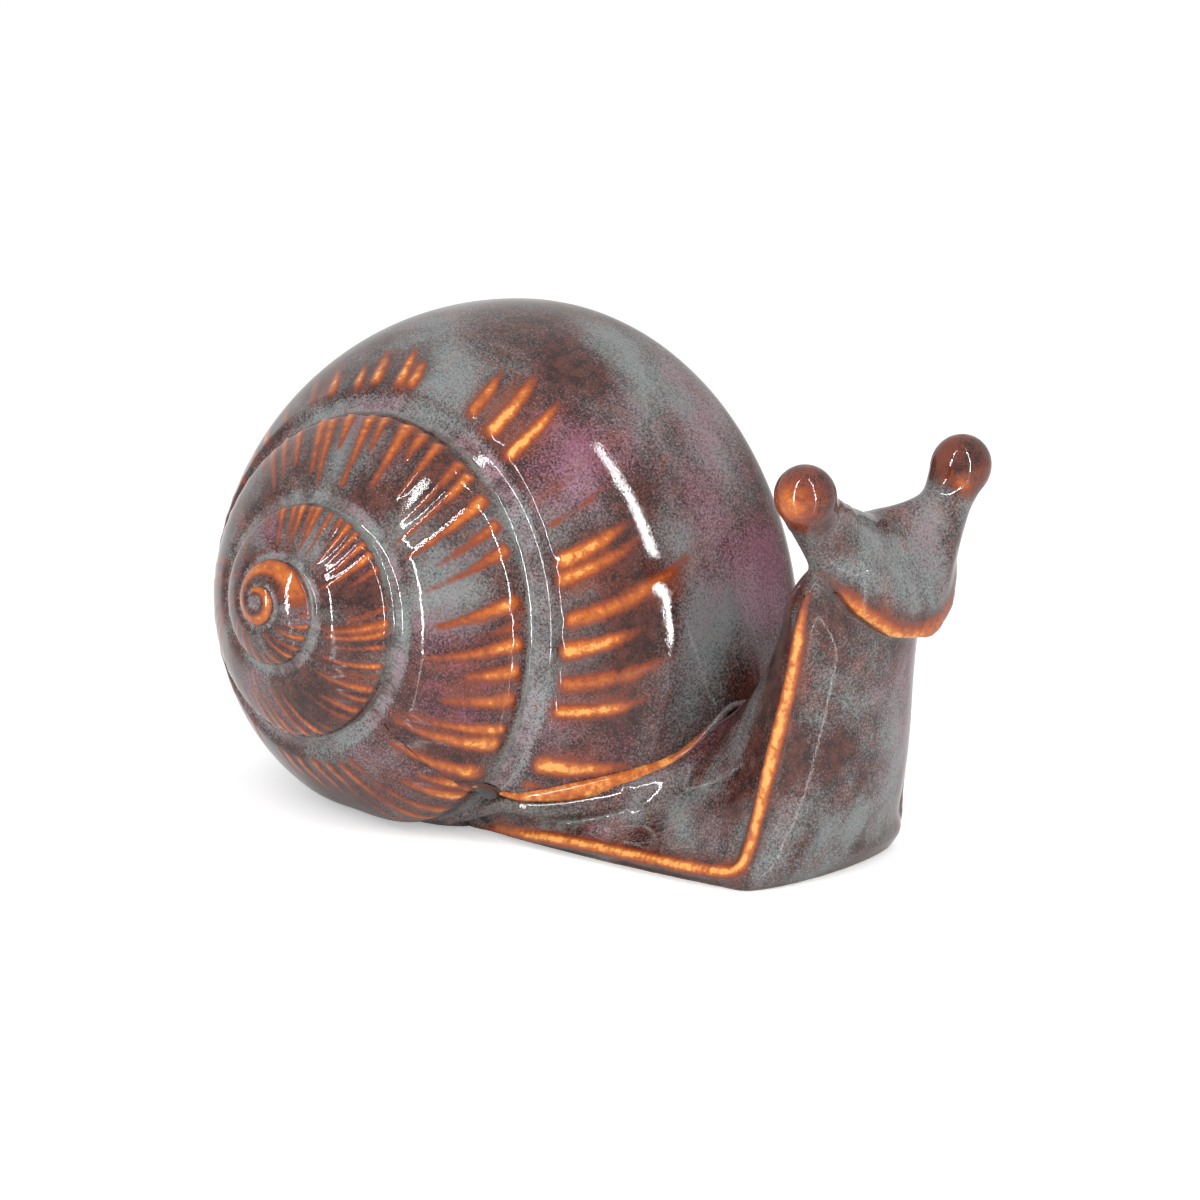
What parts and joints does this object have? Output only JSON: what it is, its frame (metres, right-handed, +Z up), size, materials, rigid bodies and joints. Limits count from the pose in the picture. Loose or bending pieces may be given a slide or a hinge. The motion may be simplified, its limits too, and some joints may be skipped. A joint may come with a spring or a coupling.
{
  "type": "snail figurine",
  "caption": "Free-standing glazed ceramic garden snail with a right-handed whorled shell, a ridged foot and neck, a shield-shaped face and ball-tipped eye stalks; a table or shelf ornament.",
  "frame": {"origin": "on the sole, under the middle of the foot", "axes": "+X the way the snail faces, +Y its left side, +Z up"},
  "size_m": [0.1141, 0.0727, 0.0685],
  "materials": {
    "shell_glaze": "gloss reactive glaze that breaks to orange on the ribs",
    "body_glaze": "gloss reactive glaze that breaks to orange on the ridges"
  },
  "bodies": {
    "root": {"shell": "shell_glaze", "mantle_collar": "body_glaze", "foot": "body_glaze", "head": "body_glaze", "right_eye_stalk": "body_glaze", "left_eye_stalk": "body_glaze"}
  },
  "joints": []
}
